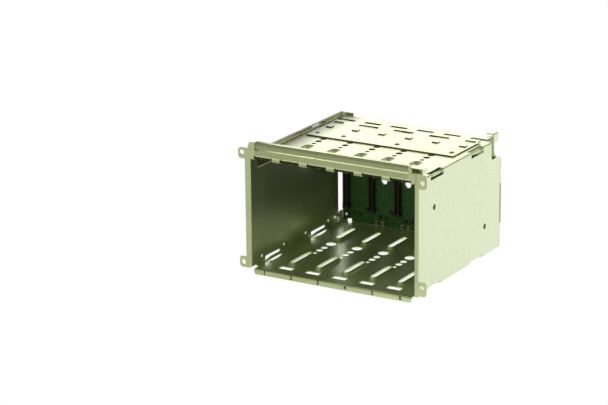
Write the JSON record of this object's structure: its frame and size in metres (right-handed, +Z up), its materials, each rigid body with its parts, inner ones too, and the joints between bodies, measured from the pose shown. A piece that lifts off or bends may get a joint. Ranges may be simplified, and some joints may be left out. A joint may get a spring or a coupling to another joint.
{
  "type": "hot swap drive cage",
  "caption": "Folded steel drive cage, open at the front, with guide slots for upright drive trays, a front beam, screw ears and a backplane board across the rear.",
  "frame": {"origin": "under the middle of the cage, level with the lower edge of the front lip", "axes": "+X to the right seen from the open front, +Y from the open front to the backplane, +Z up"},
  "size_m": [0.1948, 0.1834, 0.1267],
  "materials": {
    "galvanised_sheet": "zinc-coated steel sheet with a pale olive passivation",
    "rivet_steel": "zinc-plated rivets and screws",
    "green_board": "green solder mask over glass-fibre laminate",
    "black_connector": "moulded black connector plastic",
    "contact_gold": "gold-plated spring contacts",
    "tinned_pin": "tin-plated round pins",
    "ceramic_brown": "fired ceramic capacitors with tinned ends",
    "resistor_black": "glazed resistor packs",
    "chip_black": "moulded epoxy chips with tinned leads",
    "can_aluminium": "drawn aluminium cans on black bases",
    "port_ivory": "moulded ivory nylon"
  },
  "bodies": {
    "root": {"floor_panel": "galvanised_sheet", "left_side_wall": "galvanised_sheet", "right_side_wall": "galvanised_sheet", "top_panel": "galvanised_sheet", "front_top_beam": "galvanised_sheet", "keeper_box": "galvanised_sheet", "left_doubler_plate": "galvanised_sheet", "top_cover_plate": "galvanised_sheet", "beam_rivets": "rivet_steel", "cover_rivets": "rivet_steel", "rail_rivets": "rivet_steel", "backplane_board": "green_board", "backplane_bracket": "galvanised_sheet", "backplane_screws": "rivet_steel", "connector_contacts": "contact_gold", "front_capacitors": "ceramic_brown", "front_resistor_packs": "resistor_black", "signal_port": "black_connector", "power_port": "port_ivory", "power_port_pins": "tinned_pin", "control_chip": "chip_black", "driver_chips": "chip_black", "filter_capacitors": "can_aluminium", "drive_connector_1": "black_connector", "drive_connector_2": "black_connector", "drive_connector_3": "black_connector", "drive_connector_4": "black_connector", "drive_connector_5": "black_connector", "drive_connector_6": "black_connector"}
  },
  "joints": []
}
